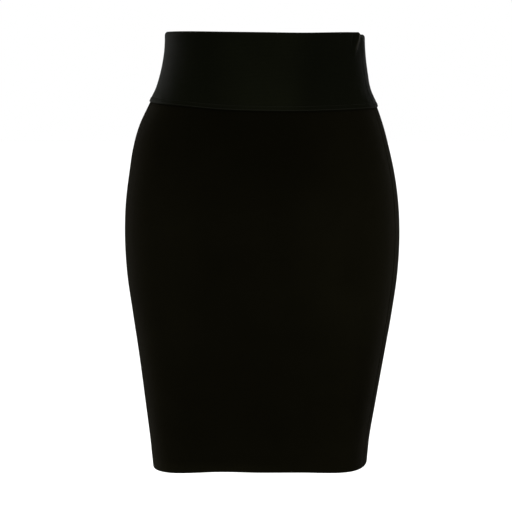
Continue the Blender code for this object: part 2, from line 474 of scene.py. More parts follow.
# Besides the stretch, these zones paint light and shade. They are lighter towards both sides, most on
# the wearer's left, where the light falls, and a little darker near that side's edge lower down. They
# are also lighter over the hem's fold, as a painted highlight.
JERSEY_STRETCH_AND_SHADE = [
    Zone(0.34, *ALL, 85, 250),
    Zone(-0.06, *ALL, 300, 420),
    Zone(0.2, 50, 130, *ALL),
    Zone(-0.18, 50, 130, 380, 500),
    Zone(-0.22, 145, 172, 345, 405),
    Zone(0.2, -35, -95, *ALL),
    Zone(-0.1, -120, -165, *ALL),
    Zone(0.08, *ALL, 490, 515),
    Zone(0.34, *ALL, 526, 538),
    Zone(-0.27, 20, 80, 526, 538),
]


def ease(value, start, end):
    """0 before the start, 1 past the end and a smooth step between, either way round."""
    t = np.clip((value - start) / (end - start), 0, 1)
    return t * t * (3 - 2 * t)


def stretch_and_shade_at(across, height, base, zones):
    """How far the cloth is stretched, with its painted light and shade, at places across and heights,
    by a table of zones.
    """
    total = np.full_like(height, base)
    for zone in zones:
        aside = ease(across / MM, zone.across_from, zone.across_to)
        total += zone.amount * aside * ease(-height / MM, zone.down_from, zone.down_to)
    return total


print(len(JERSEY_STRETCH_AND_SHADE), "zones on the jersey")

# %% [markdown]
# Now a panel is put together: its columns and section give places on the form, the creases and
# the faint ridge over the turned-up edge move them in or out, and the shell joins them. The same
# function makes the front and the back, which differ only in their seams and their creases.

# %% The two panels
JERSEY_SPACING = 2.6 * MM  # between columns of points


def set_numbers(piece, name, values):
    """Stores one number for each point of a piece."""
    layer = piece.data.attributes.new(name, "FLOAT", "POINT")
    layer.data.foreach_set("value", np.ravel(values))


def jersey_panel(name, angle_at, width, creases):
    """A jersey panel between two side seams, from behind the waistband to the hem."""
    share = shares_across(width, JERSEY_SPACING)
    top, _ = line("lap", share, angle_at)
    hem, _ = line("hem", share, angle_at)
    height, out = jersey_section(top + LAP, hem)
    angle = angle_at(share[:, None], height)
    outer = np.arange(height.shape[1]) < height.shape[1] // 2
    out = out - np.where(outer, seam_roll(share, width)[:, None], 0)
    across, _ = flat_places(angle, height, surface(angle, height))
    free = ease(-height, -top[:, None], -top[:, None] + 8 * MM)
    out = out + creased(across, height, creases) * free
    below = top[:, None] + LAP - height
    out = out + PRESSED * (1 - ease(below, 3 * MM, 6 * MM))
    turned = hem[:, None] + HEM_DEPTH
    out = out + np.where(outer, SHOW_THROUGH * ease(-height, -turned - MM, -turned + MM), 0)
    points = moved_out(angle, height, out)
    piece = shell(name, points, *flat_places(angle, height, points))
    leftwards = across * (1 if angle_at is front_angle else -1)
    set_numbers(piece, STRETCH_AND_SHADE, stretch_and_shade_at(leftwards, height, JERSEY_BASE, JERSEY_STRETCH_AND_SHADE))
    return piece


front_panel = jersey_panel("front_panel", front_angle, 410 * MM, FRONT_CREASES)
back_panel = jersey_panel("back_panel", back_angle, 465 * MM, BACK_CREASES)
for piece in (front_panel, back_panel):
    print(piece.name, len(piece.data.polygons) * 2, "triangles")

# %% [markdown]
# ## The elastic waistband
#
# Wide elastic is a firm, springy tape. Its top edge rolls inwards a little, so the rim is round.
# At the lower edge two rows of stitches hold it down, and the strip between them puffs out. The
# section is laid out along its own length from the rim's cut edge to the lower edge, because that
# is how the ribs are counted too: each rib runs lengthwise in the tape and follows both edges.

# %% Section of the elastic
RIBS = 60
ROWS_PER_RIB = 4
RIM_START = math.radians(24)  # where on the roll the tape's cut edge is, from its crown
GROOVE_WIDTH = 0.8 * MM
GROOVE_DEPTH = 0.25 * MM  # how deep the upper row of stitches sinks in
PUFF = 0.35 * MM  # how far the tape bulges between the two rows


def elastic_section(top, lower):
    """Heights, distances out and share of the way down, once round the tape's section."""
    half = ELASTIC / 2
    radius = RIM - half
    rolled = radius * (math.pi / 2 - RIM_START)
    length = rolled + (top - RIM - lower)[:, None]
    ends = np.array([0.02, 0.2, 0.55]) * half / np.mean(length)
    rows = np.linspace(0, 1, RIBS * ROWS_PER_RIB + 1)[1:-1]
    down = np.concatenate((ends, rows, 1 - ends[::-1]))
    run = down * length
    turn = np.clip(RIM_START + run / radius, 0, math.pi / 2)
    height = top[:, None] - RIM + radius * np.cos(turn) - np.maximum(run - rolled, 0)
    out = LAYER_GAP + half - radius * (1 - np.sin(turn))
    short = np.clip(1 - np.minimum(run, length - run) / half, 0, 1)
    thick = half * np.sqrt(1 - short**2)
    above = length - run
    sunk = GROOVE_DEPTH * np.exp(-(((above - STITCH_LINES[1]) / GROOVE_WIDTH) ** 2))
    between = (above - STITCH_LINES[0]) / (STITCH_LINES[1] - STITCH_LINES[0])
    puffed = PUFF * np.sin(math.pi * np.clip(between, 0, 1))
    face = height + thick * np.cos(turn), out + thick * np.sin(turn) - sunk + puffed
    lining = height - thick * np.cos(turn), out - thick * np.sin(turn)
    both = [np.concatenate((a, b[:, ::-1]), axis=1) for a, b in zip(face, lining)]
    return *both, np.concatenate((down, down[::-1]))


tape_length = elastic_section(np.array([10 * MM]), np.array([-88 * MM]))
print(tape_length[0].size, "points round the elastic's section")

# %% [markdown]
# The two lengths of elastic meet at the side seams. At the wearer's left the back one starts 3 mm
# lower than the front one, whose corner is rounded off. The sewing draws the tape there into a sharp
# little fold. A paler streak painted along that fold stands for the highlight that it catches. The
# front also has one soft upright trough near its middle.

# %% The notch at the wearer's left, and the tape's creases
NOTCH_DROP = 2.8 * MM  # the back starts this far below the front
NOTCH_REACH = 120.0  # degrees of the turn over which the back climbs to the common line
CORNER_DROP = 1.8 * MM  # the front's corner is rounded off by this much
CORNER_REACH = 3.0  # degrees of the turn
PUCKERED = 40 * MM  # how far the folds reach from the seam
PUCKER_REACH = 5 * MM  # how far up and down the stitches draw the tape uneven
PUCKER_WAVES = [  # height in metres, radians for a metre, and start
    (0.09 * MM, 410, 0.0),
    (0.063 * MM, 257, 1.3),
    (0.045 * MM, 611, 4.0),
]

FRONT_TAPE_CREASES = [
    Crease(10, 8, 12, -52, 5, -0.45),
    Crease(-4, -18, 2, -78, 9, 0.35),
    Crease(-96, 6, -88, -60, 14, -0.4),
    Crease(88, 4, 80, -66, 12, 0.35),
    Crease(163, 24, 142, -26, 3.2, 1.7),
    Crease(144, 10, 141, -11, 1.8, -1.5),
]
FOLD_HIGHLIGHT_LINES = [  # where a highlight is painted along the pucker's fold: the last number is how strong, up to 1
    Crease(158, 14, 156.5, -5, 1.5, 1.0),
    Crease(156, 4, 146, -16, 1.6, 0.25),
]
BACK_TAPE_CREASES = [
    Crease(-178, 8, -180, -28, 1.5, 0.6),
    Crease(-172, 5, -168, -24, 2.4, -0.5),
    Crease(-70, 4, -78, -60, 11, -0.5),
    Crease(22, 6, 16, -58, 8, 0.5),
    Crease(96, 2, 104, -70, 13, -0.5),
]


def pucker(across, above):
    """The slight unevenness that the stitches draw up along the waistband's lower edge."""
    waves = sum(size * np.sin(across * rate + start) for size, rate, start in PUCKER_WAVES)
    return waves * np.exp(-(((above - STITCH_LINES[1]) / PUCKER_REACH) ** 2))


print(len(FRONT_TAPE_CREASES), "creases in the front tape,", len(BACK_TAPE_CREASES), "in the back")

# %% [markdown]
# A length of elastic is put together like a panel. It also carries its own numbers: how far down the
# tape each point is, which the ribs and the weave follow, a number of painted light and shade, and
# where a painted highlight lies on the fold at the notch.

# %% The two lengths of elastic, still without their ribs
RIB_PLACE = "rib_place"  # attribute: share of the way down the tape
FOLD_HIGHLIGHT = "fold_highlight"  # attribute: 1 where the painted highlight on the fold is full
TAPE_SPACING = 3.4 * MM  # between columns of points
# On the elastic this number is painted light and shade: lighter on the tape's lower part, where more
# light falls, and darker towards both sides.
TAPE_BASE = 0.64
TAPE_PAINTED_LIGHT_AND_SHADE = [
    Zone(0.14, *ALL, 10, 80),
    Zone(-0.32, 45, 85, *ALL),
    Zone(-0.07, 45, 85, 10, 80),
    Zone(-0.205, 0, -50, *ALL),
    Zone(-0.045, 0, -50, 10, 80),
]


def elastic_length(name, angle_at, width, creases):
    """A length of waistband elastic between the two side seams."""
    is_front = angle_at is front_angle
    share = shares_across(width, TAPE_SPACING, PUCKERED)
    if is_front:
        share = (1 - share)[::-1]
    top, angle = line("top", share, angle_at)
    lower, _ = line("lap", share, angle_at)
    drop = CORNER_DROP if is_front else NOTCH_DROP
    reach = CORNER_REACH if is_front else NOTCH_REACH
    away = np.clip(np.abs(angle - seam(LEFT_SEAM, top)[0]) / reach, 0, 1)
    top = top - drop * (1 + np.cos(np.pi * away)) / 2
    height, out, down = elastic_section(top, lower)
    angle = angle_at(share[:, None], height)
    outer = np.arange(height.shape[1]) < height.shape[1] // 2
    out = out - np.where(outer, seam_roll(share, width)[:, None], 0)
    across, _ = flat_places(angle, height, surface(angle, height))
    above = height - lower[:, None]
    loose = ease(above, LAP, LAP + 12 * MM)
    out = out + creased(across, height, creases) * loose
    out = out + np.where(outer, pucker(across, above), 0)
    points = moved_out(angle, height, out)
    piece = shell(name, points, *flat_places(angle, height, points))
    set_numbers(piece, RIB_PLACE, np.tile(down, len(share)))
    leftwards = across * (1 if is_front else -1)
    set_numbers(piece, STRETCH_AND_SHADE, stretch_and_shade_at(leftwards, height, TAPE_BASE, TAPE_PAINTED_LIGHT_AND_SHADE))
    if is_front:
        # A painted highlight: a paler streak along the sharp fold beside the notch.
        set_numbers(piece, FOLD_HIGHLIGHT, outer * creased(across, height, FOLD_HIGHLIGHT_LINES) / MM)
    return piece


front_tape = elastic_length("front_waistband", front_angle, 355 * MM, FRONT_TAPE_CREASES)
back_tape = elastic_length("back_waistband", back_angle, 400 * MM, BACK_TAPE_CREASES)
for piece in (front_tape, back_tape):
    print(piece.name, len(piece.data.polygons) * 2, "triangles")

# %% [markdown]
# ## Surfaces shared by the materials
#
# Both cloths are nearly black, and what tells them apart is how they take light: the jersey is a
# matt, warm black with a soft nap that catches light at grazing angles, and the elastic is a
# smoother, cooler black. Three small node groups hold what isn't plain colour. Each one reads the
# flat cloth map and gives a height for the bump and a tone for the colour. The knit's and the weave's
# tone is darker where their height is low: painted shade in the hollows.


# %% Helpers that build node trees
def new_group(name, inputs, outputs):
    """A shader node group with value and vector inputs, and its input and output nodes."""
    tree = bpy.data.node_groups.new(name, "ShaderNodeTree")
    for label, kind, value in inputs:
        socket = tree.interface.new_socket(label, in_out="INPUT", socket_type=kind)
        if value is not None:
            socket.default_value = value
    for label in outputs:
        tree.interface.new_socket(label, in_out="OUTPUT", socket_type="NodeSocketFloat")
    return tree, tree.nodes.new("NodeGroupInput"), tree.nodes.new("NodeGroupOutput")


def math_node(tree, operation, *values, clamp=False):
    """A Math node fed by numbers or sockets; gives its output socket."""
    node = tree.nodes.new("ShaderNodeMath")
    node.operation, node.use_clamp = operation, clamp
    for socket, value in zip(node.inputs, values):
        if isinstance(value, (int, float)):
            socket.default_value = value
        else:
            tree.links.new(value, socket)
    return node.outputs[0]


def arches(tree, value):
    """One round arch, from 0 to 1 and back, for each whole number that a socket runs through."""
    turned = math_node(tree, "MULTIPLY", value, math.pi)
    return math_node(tree, "ABSOLUTE", math_node(tree, "SINE", turned))


def split(tree, vector):
    """The X and Y of a vector socket."""
    node = tree.nodes.new("ShaderNodeSeparateXYZ")
    tree.links.new(vector, node.inputs[0])
    return node.outputs["X"], node.outputs["Y"]


print("helpers for node trees: new_group, math_node, arches, split")

# %% [markdown]
# Jersey's face is made of V-shaped stitches stacked in columns, the wales. Half of a V is a small
# slanted leg. The group folds the cloth map about each wale's middle line, slants it, and rounds each
# leg into a little dome. Its tone follows the height, so the hollows between the domes are darker:
# painted shade.

# %% Knitted face
VALUE, VECTOR = "NodeSocketFloat", "NodeSocketVector"


def make_knit():
    """Node group: the V-shaped stitches of a knitted face."""
    tree, into, out = new_group(
        "knitted_face",
        [("Cloth", VECTOR, None), ("Wales per metre", VALUE, 1000), ("Rows per metre", VALUE, 1400)],
        ["Height", "Shaded tone"],
    )
    across, down = split(tree, into.outputs["Cloth"])
    wale = math_node(tree, "FRACT", math_node(tree, "MULTIPLY", across, into.outputs[1]))
    beside = math_node(tree, "ABSOLUTE", math_node(tree, "SUBTRACT", wale, 0.5))
    row = math_node(tree, "MULTIPLY", down, into.outputs[2])
    leg = math_node(tree, "FRACT", math_node(tree, "MULTIPLY_ADD", beside, 1.4, row))
    along = math_node(tree, "SINE", math_node(tree, "MULTIPLY", leg, math.pi))
    over = math_node(tree, "MULTIPLY", math_node(tree, "SUBTRACT", beside, 0.25), 4)
    dome = math_node(tree, "SUBTRACT", 1, math_node(tree, "MULTIPLY", over, over))
    height = math_node(tree, "MULTIPLY", dome, math_node(tree, "MULTIPLY_ADD", along, 0.6, 0.4))
    tree.links.new(height, out.inputs["Height"])
    # The tone follows the height: painted shade in the hollows between the stitches.
    tree.links.new(math_node(tree, "MULTIPLY_ADD", height, 0.6, 0.4, clamp=True), out.inputs["Shaded tone"])
    return tree


knitted_face = make_knit()
print("group:", knitted_face.name)

# %% [markdown]
# The elastic is woven from rubber cores covered in fine yarn. Its ribs are real geometry, made
# further down. Across them run fine upright yarns, which swap places from one rib to the next. The
# tone is darker between the yarns and in the grooves between the ribs: painted shade.

# %% Woven tape


def make_weave():
    """Node group: fine upright yarns across the ribs of an elastic tape."""
    tree, into, out = new_group(
        "woven_tape",
        [("Cloth", VECTOR, None), ("Yarns per metre", VALUE, 1500), ("Rib place", VALUE, 0)],
        ["Height", "Shaded tone"],
    )
    across, _ = split(tree, into.outputs["Cloth"])
    rib = math_node(tree, "MULTIPLY", into.outputs["Rib place"], RIBS)
    whole = math_node(tree, "FLOOR", rib)
    odd = math_node(tree, "MULTIPLY", math_node(tree, "MODULO", whole, 2), 0.5)
    yarn = math_node(tree, "MULTIPLY_ADD", across, into.outputs["Yarns per metre"], odd)
    height = arches(tree, yarn)
    crown = arches(tree, rib)
    # The tone is darker between the yarns and at the ribs' edges: painted shade in the grooves.
    hollow_shaded_tone = math_node(tree, "MULTIPLY", math_node(tree, "MULTIPLY_ADD", height, 0.25, 0.75), crown)
    tree.links.new(height, out.inputs["Height"])
    tree.links.new(math_node(tree, "MULTIPLY_ADD", hollow_shaded_tone, 0.5, 0.5, clamp=True), out.inputs["Shaded tone"])
    return tree


woven_tape = make_weave()
print("group:", woven_tape.name)

# %% [markdown]
# No dyed cloth is even. The last group mixes two sizes of noise on the object's own coordinates:
# large soft patches, where the dye took a little more or less, and fine fibres.

# %% Uneven dye and fibre


def make_fibre():
    """Node group: large soft patches and fine fibre, as one value about 0.5."""
    tree, into, out = new_group(
        "uneven_fibre",
        [("Place", VECTOR, None), ("Patches per metre", VALUE, 14), ("Fibres per metre", VALUE, 900)],
        ["Patch", "Fibre"],
    )
    kinds = (("Patch", "Patches per metre", 0.35), ("Fibre", "Fibres per metre", 1.0))
    for label, source, spread in kinds:
        noise = tree.nodes.new("ShaderNodeTexNoise")
        noise.inputs["Detail"].default_value = 3
        tree.links.new(into.outputs["Place"], noise.inputs["Vector"])
        tree.links.new(into.outputs[source], noise.inputs["Scale"])
        softened = math_node(tree, "MULTIPLY_ADD", noise.outputs[0], spread, 0.5 - spread / 2)
        tree.links.new(softened, out.inputs[label])
    return tree


uneven_fibre = make_fibre()
print("group:", uneven_fibre.name)


# %% [markdown]
# ## The materials
#
# A cloth material here is always the same chain: the surface group's tone and the fibre's patches
# mix two nearly black colours, the height goes to a Bump node, and the constant values, such as the
# sheen, are set on the shader's own sockets.


# %% Build a cloth material
def cloth_material(name, surface_group, settings, colours, finish, bump, rough, is_thread=False):
    """A procedural cloth. settings feed the surface group, and finish the shader's own sockets."""
    material = bpy.data.materials.new(name)
    material.use_nodes = True
    tree = material.node_tree
    shader = tree.nodes["Principled BSDF"]
    flat = tree.nodes.new("ShaderNodeUVMap")
    flat.uv_map = CLOTH_MAP
    place = tree.nodes.new("ShaderNodeTexCoord")
    face = tree.nodes.new("ShaderNodeGroup")
    face.node_tree = surface_group
    where = place.outputs["Object"] if is_thread else flat.outputs["UV"]
    tree.links.new(where, face.inputs["Cloth"])
    for label, value in settings.items():
        face.inputs[label].default_value = value
    fibre = tree.nodes.new("ShaderNodeGroup")
    fibre.node_tree = uneven_fibre
    tree.links.new(place.outputs["Object"], fibre.inputs["Place"])
    # The surface's tone carries painted shade in the hollows. The stretch number carries painted
    # light and shade as well as stretch.
    shaded_tone = face.outputs["Shaded tone"]
    if not is_thread:
        stretch_and_shade = tree.nodes.new("ShaderNodeAttribute")
        stretch_and_shade.attribute_name = STRETCH_AND_SHADE
        shaded_tone = math_node(tree, "MULTIPLY", shaded_tone, stretch_and_shade.outputs["Fac"])
    mixed = math_node(tree, "MULTIPLY", fibre.outputs["Patch"], shaded_tone, clamp=True)
    colour = tree.nodes.new("ShaderNodeMix")
    colour.data_type = "RGBA"
    colour.inputs["A"].default_value = (*colours[0], 1)
    colour.inputs["B"].default_value = (*colours[1], 1)
    tree.links.new(mixed, colour.inputs["Factor"])
    tree.links.new(colour.outputs["Result"], shader.inputs["Base Color"])
    roughness = math_node(tree, "MULTIPLY_ADD", fibre.outputs["Fibre"], rough[1] - rough[0], rough[0])
    tree.links.new(roughness, shader.inputs["Roughness"])
    relief = tree.nodes.new("ShaderNodeBump")
    relief.inputs["Distance"].default_value = bump
    relief.inputs["Strength"].default_value = 0.5
    raised = math_node(tree, "MULTIPLY_ADD", fibre.outputs["Fibre"], 0.35, face.outputs["Height"])
    tree.links.new(raised, relief.inputs["Height"])
    tree.links.new(relief.outputs["Normal"], shader.inputs["Normal"])
    for label, value in finish.items():
        shader.inputs[label].default_value = value
    return material, face


print("cloth_material sets up each cloth's shader")

# %% [markdown]
# Three materials come from it: the jersey, the elastic and the thread. The elastic alone gets one mix
# more, which paints a paler highlight along the sharp fold at the notch.

# %% Jersey, elastic and thread
JERSEY_SHEEN = {
    "Specular IOR Level": 0.0,
    "Sheen Weight": 0.020,
    "Sheen Roughness": 0.31,
    "Sheen Tint": (1.0, 0.93, 0.84, 1),
}
ELASTIC_SHEEN = {
    "Specular IOR Level": 0.006,
    "Sheen Weight": 0.007,
    "Sheen Roughness": 0.25,
    "Sheen Tint": (0.95, 1.0, 0.98, 1),
}
FOLD_HIGHLIGHT_COLOUR = (0.038, 0.035, 0.027)  # the painted highlight on the fold
jersey, _ = cloth_material(
    "black_jersey", knitted_face, {"Wales per metre": 1050, "Rows per metre": 1500},
    ((0.0008, 0.0007, 0.0002), (0.0060, 0.0055, 0.0029)), JERSEY_SHEEN, 0.25 * MM, (0.8, 0.98),
)
elastic, tape_face = cloth_material(
    "black_elastic", woven_tape, {"Yarns per metre": 1500},
    ((0.0007, 0.0008, 0.0003), (0.0058, 0.0064, 0.0030)), ELASTIC_SHEEN, 0.12 * MM, (0.58, 0.7),
)
tree = elastic.node_tree
shader = tree.nodes["Principled BSDF"]
rib_place, fold_highlight = [tree.nodes.new("ShaderNodeAttribute") for _ in range(2)]
rib_place.attribute_name, fold_highlight.attribute_name = RIB_PLACE, FOLD_HIGHLIGHT
tree.links.new(rib_place.outputs["Fac"], tape_face.inputs["Rib place"])
# This mix paints the fold's highlight in a paler colour.
highlight_mix = tree.nodes.new("ShaderNodeMix")
highlight_mix.data_type = "RGBA"
highlight_mix.inputs["B"].default_value = (*FOLD_HIGHLIGHT_COLOUR, 1)
tree.links.new(fold_highlight.outputs["Fac"], highlight_mix.inputs["Factor"])
tree.links.new(shader.inputs["Base Color"].links[0].from_socket, highlight_mix.inputs["A"])
tree.links.new(highlight_mix.outputs["Result"], shader.inputs["Base Color"])
thread, _ = cloth_material(
    "black_thread", woven_tape, {"Yarns per metre": 3000},
    ((0.006, 0.006, 0.0045), (0.013, 0.013, 0.010)), ELASTIC_SHEEN, 0.05 * MM, (0.4, 0.55),
    is_thread=True,
)
for piece in (front_panel, back_panel):
    piece.data.materials.append(jersey)
print("materials:", jersey.name, elastic.name, thread.name)


# %% [markdown]
# ## Ribs with Geometry Nodes
#
# A rib is a rule, not a drawing: push the tape's face in and out as a function of how far down the
# tape a point is. Geometry Nodes do that to the whole mesh at once, and the number and height of
# the ribs stay two plain inputs. The result is then turned into a plain mesh, because nothing
# later needs the modifier.


# %% Helpers for Geometry Nodes
GEOMETRY = "NodeSocketGeometry"


def new_shape_tree(name, inputs):
    """A Geometry Nodes tree with a mesh going in and out, and named inputs."""
    tree = bpy.data.node_groups.new(name, "GeometryNodeTree")
    tree.interface.new_socket("Geometry", in_out="INPUT", socket_type=GEOMETRY)
    for label, kind in inputs:
        tree.interface.new_socket(label, in_out="INPUT", socket_type=kind)
    tree.interface.new_socket("Geometry", in_out="OUTPUT", socket_type=GEOMETRY)
    return tree, tree.nodes.new("NodeGroupInput"), tree.nodes.new("NodeGroupOutput")


def node(tree, kind, links=(), **settings):
    """A node with its settings, and links as {input: socket or value}."""
    made = tree.nodes.new(kind)
    for label, value in settings.items():
        setattr(made, label, value)
    for label, value in dict(links).items():
        if isinstance(value, bpy.types.NodeSocket):
            tree.links.new(value, made.inputs[label])
        else:
            made.inputs[label].default_value = value
    return made


print("helpers for shape trees: new_shape_tree, node")


# %% End a tree, and put a plain mesh in its place
def end_tree(tree, geometry, into, out):
    """The end of every tree: realized instances with a material set."""
    real = node(tree, "GeometryNodeRealizeInstances", {"Geometry": geometry})
    smooth = node(tree, "GeometryNodeSetShadeSmooth", {"Geometry": real.outputs[0]})
    painted = node(
        tree,
        "GeometryNodeSetMaterial",
        {"Geometry": smooth.outputs[0], "Material": into.outputs["Material"]},
    )
    tree.links.new(painted.outputs[0], out.inputs[0])


def made_plain(piece, tree, values):
    """Applies a tree to a piece and puts a plain mesh in its place."""
    modifier = piece.modifiers.new(tree.name, "NODES")
    modifier.node_group = tree
    for item in tree.interface.items_tree:
        if item.in_out == "INPUT" and item.name in values:
            modifier[item.identifier] = values[item.name]
    evaluated = piece.evaluated_get(bpy.context.evaluated_depsgraph_get())
    mesh = bpy.data.meshes.new_from_object(evaluated)
    piece.modifiers.remove(modifier)
    piece.data = mesh
    mesh.name = piece.name
    return piece


print("helpers for plain meshes: end_tree, made_plain")

# %% [markdown]
# The tree reads each point's place down the tape, turns it into a row of round arches and pushes
# the point along its normal by the arch's height.


# %% The tree that raises the ribs
def make_rib_tree():
    """Geometry Nodes: lengthwise ribs on a tape, by the share of the way down it."""
    tree, into, out = new_shape_tree(
        "tape_ribs", [("Ribs", VALUE), ("Rib height", VALUE), ("Material", "NodeSocketMaterial")]
    )
    place = node(tree, "GeometryNodeInputNamedAttribute", {"Name": RIB_PLACE}, data_type="FLOAT")
    turns = math_node(tree, "MULTIPLY", place.outputs[0], into.outputs["Ribs"])
    rounded = math_node(tree, "SUBTRACT", arches(tree, turns), 0.6)
    lift = math_node(tree, "MULTIPLY", rounded, into.outputs["Rib height"])
    way = node(tree, "GeometryNodeInputNormal")
    push = node(
        tree, "ShaderNodeVectorMath", {"Vector": way.outputs[0], "Scale": lift}, operation="SCALE"
    )
    moved = node(
        tree,
        "GeometryNodeSetPosition",
        {"Geometry": into.outputs["Geometry"], "Offset": push.outputs[0]},
    )
    end_tree(tree, moved.outputs[0], into, out)
    return tree


RIB_HEIGHT = 0.22 * MM
rib_tree = make_rib_tree()
for piece in (front_tape, back_tape):
    made_plain(piece, rib_tree, {"Ribs": float(RIBS), "Rib height": RIB_HEIGHT, "Material": elastic})
    print(piece.name, len(piece.data.vertices), "points with ribs")

# %% [markdown]
# ## Stitches with Geometry Nodes
#
# A stitch is a short arc of thread whose two ends dive into the cloth. The tree's first half makes
# a single one: a curve with three points, and a ring of six points swept along it, since a thread
# this thin needs no more.


# %% One stitch of thread
def combine(tree, x, y, z):
    """A vector made of numbers or sockets."""
    return node(tree, "ShaderNodeCombineXYZ", {"X": x, "Y": y, "Z": z}).outputs[0]


def one_stitch(tree, into):
    """The nodes that make one stitch along X; gives its mesh socket."""
    half = math_node(tree, "MULTIPLY", into.outputs["Stitch length"], 0.5)
    back = math_node(tree, "MULTIPLY", half, -1)
    sunk = math_node(tree, "MULTIPLY", into.outputs["Thread radius"], -1)
    arc = node(
        tree,
        "GeometryNodeCurveQuadraticBezier",
        {
            "Resolution": 6,
            "Start": combine(tree, back, 0.0, sunk),
            "Middle": combine(tree, 0.0, 0.0, into.outputs["Lift"]),
            "End": combine(tree, half, 0.0, sunk),
        },
    )
    ring = node(
        tree,
        "GeometryNodeCurvePrimitiveCircle",
        {"Resolution": 6, "Radius": into.outputs["Thread radius"]},
    )
    stitch = node(
        tree,
        "GeometryNodeCurveToMesh",
        {"Curve": arc.outputs[0], "Profile Curve": ring.outputs[0], "Fill Caps": True},
    )
    return stitch.outputs[0]


print("one_stitch makes a single arc of thread")

# %% [markdown]
# Its second half walks along a path with even steps and stands a copy on each step, turned along
# the path and away from the cloth. The path is a row of points with an attribute that says which
# way is out.

# %% The tree that sews along a path
OUTWARD = "outward"


def make_stitch_tree():
    """Geometry Nodes: thread stitches at even steps along a path."""
    labels = ("Step", "Stitch length", "Thread radius", "Lift")
    tree, into, out = new_shape_tree(
        "thread_stitches", [(label, VALUE) for label in labels] + [("Material", "NodeSocketMaterial")]
    )
    path = node(tree, "GeometryNodeMeshToCurve", {"Mesh": into.outputs["Geometry"]})
    steps = node(
        tree,
        "GeometryNodeResampleCurve",
        {"Curve": path.outputs[0], "Length": into.outputs["Step"]},
        mode="LENGTH",
    )
    away = node(tree, "GeometryNodeInputNamedAttribute", {"Name": OUTWARD}, data_type="FLOAT_VECTOR")
    tangent = node(tree, "GeometryNodeInputTangent")
    stand = node(
        tree,
        "FunctionNodeAxesToRotation",
        {"Primary Axis": away.outputs[0], "Secondary Axis": tangent.outputs[0]},
        primary_axis="Z",
        secondary_axis="X",
    )
    stitch = one_stitch(tree, into)
    sewn = node(
        tree,
        "GeometryNodeInstanceOnPoints",
        {"Points": steps.outputs[0], "Instance": stitch, "Rotation": stand.outputs[0]},
    )
    end_tree(tree, sewn.outputs[0], into, out)
    return tree


stitch_tree = make_stitch_tree()
print("tree:", stitch_tree.name)


# %% [markdown]
# Each run of stitches starts as a path on the form: points across a piece at a given height, moved
# out to the cloth's face. The mesh that holds the path has only points and edges, and the tree
# turns it into thread.


# %% Sew the waistband down
STITCH_STEP, STITCH_LENGTH, STITCH_LIFT = 3.4 * MM, 3.0 * MM, 0.5 * MM
SEWN = (0.006, 0.994)  # shares of the way across at which a row of stitches starts and ends


def sewing_path(name, angle, height, distance):
    """A row of points on the form, joined by edges, that knows which way is out."""
    points = moved_out(angle, height, distance)
    mesh = bpy.data.meshes.new(name)
    edges = [(i, i + 1) for i in range(len(points) - 1)]
    mesh.from_pydata(points.tolist(), edges, [])
    way = mesh.attributes.new(OUTWARD, "FLOAT_VECTOR", "POINT")
    way.data.foreach_set("vector", outward(angle, height).ravel())
    return add_object(name, mesh)


def band_stitches(side, row):
    """One row of the stitches that hold a length of elastic on the jersey, as a plain mesh."""
    share = np.linspace(*SEWN, 200)
    lower, _ = line("lap", share, SIDES[side])
    height = lower + STITCH_LINES[row]
    angle = SIDES[side](share, height)
    across, _ = flat_places(angle[:, None], height[:, None], surface(angle, height)[:, None])
    sunk = (0, GROOVE_DEPTH)[row]
    face = LAYER_GAP + ELASTIC - sunk + pucker(across[:, 0], height - lower)
    path = sewing_path(f"{side}_{('lower', 'upper')[row]}_stitches", angle, height, face)
    values = {"Step": STITCH_STEP, "Stitch length": STITCH_LENGTH, "Lift": STITCH_LIFT}
    values.update({"Thread radius": THREADS[row], "Material": thread})
    return made_plain(path, stitch_tree, values)


band_sewing = {side: [band_stitches(side, row) for row in (0, 1)] for side in SIDES}
for piece in (*band_sewing["front"], *band_sewing["back"]):
    print(piece.name, len(piece.data.polygons), "faces of thread")

# %% [markdown]
# ## Inside: seam allowances and overlocked edges
#
# Where two panels are sewn together, their edges stand inside the seam as a narrow double strip,
# pressed towards the back. The strips show when one looks into the skirt, and they close the seam:
# no light comes through it. A strip's path is a row of places down the seam. Inside the waistband
# it starts with a short arc, because the strip is caught in the rolled rim.

# %% Paths of the strips down the seams
STRIP = 1.5 * MM  # thickness of the two edges together
JERSEY_END = -514 * MM  # just above the turned-up hem
ROLL_ROWS = 12


def straight_strip(jersey_top):
    """Rows of (height, out) down the middle of a strip inside the jersey, and half its thickness."""
    height = np.linspace(jersey_top + 1 * MM, JERSEY_END, 160)
    out = np.full_like(height, -JERSEY - 2 * SEAM_GAP - STRIP / 2)
    return np.stack((height, out), axis=-1), np.tile((0, STRIP / 2), (len(height), 1))


def rolled_strip(top, jersey_top):
    """The same inside the elastic, where the strip follows the rolled rim before it hangs down."""
    radius = RIM - ELASTIC - SEAM_GAP - STRIP / 2
    centre = np.array((top - RIM, LAYER_GAP + ELASTIC - RIM))
    turn = np.linspace(RIM_START, math.pi / 2, ROLL_ROWS)
    way = np.stack((np.cos(turn), np.sin(turn)), axis=-1)
    height = np.linspace(centre[0], jersey_top + 0.3 * MM, 36)[1:]
    straight = np.stack((height, np.full_like(height, centre[1] + radius)), axis=-1)
    middle = np.concatenate((centre + radius * way, straight))
    half = np.concatenate((way, np.tile((0.0, 1.0), (len(height), 1)))) * STRIP / 2
    return middle, half


print(f"strips {STRIP / MM} mm thick")

# %% [markdown]
# The strip itself is one more shell of columns, this time only 8 mm wide. Its edges are thinned,
# as overlocking presses them.

# %% Seam allowances
COLUMNS = np.array([-0.9, -0.85, -0.6, 0, 1.5, 3.5, 5.5, 6.6, 6.9, 7]) * MM  # behind the seam
THINNED = np.array([0.35, 0.75, 1, 1, 1, 1, 1, 0.9, 0.7, 0.35])  # share of the full thickness


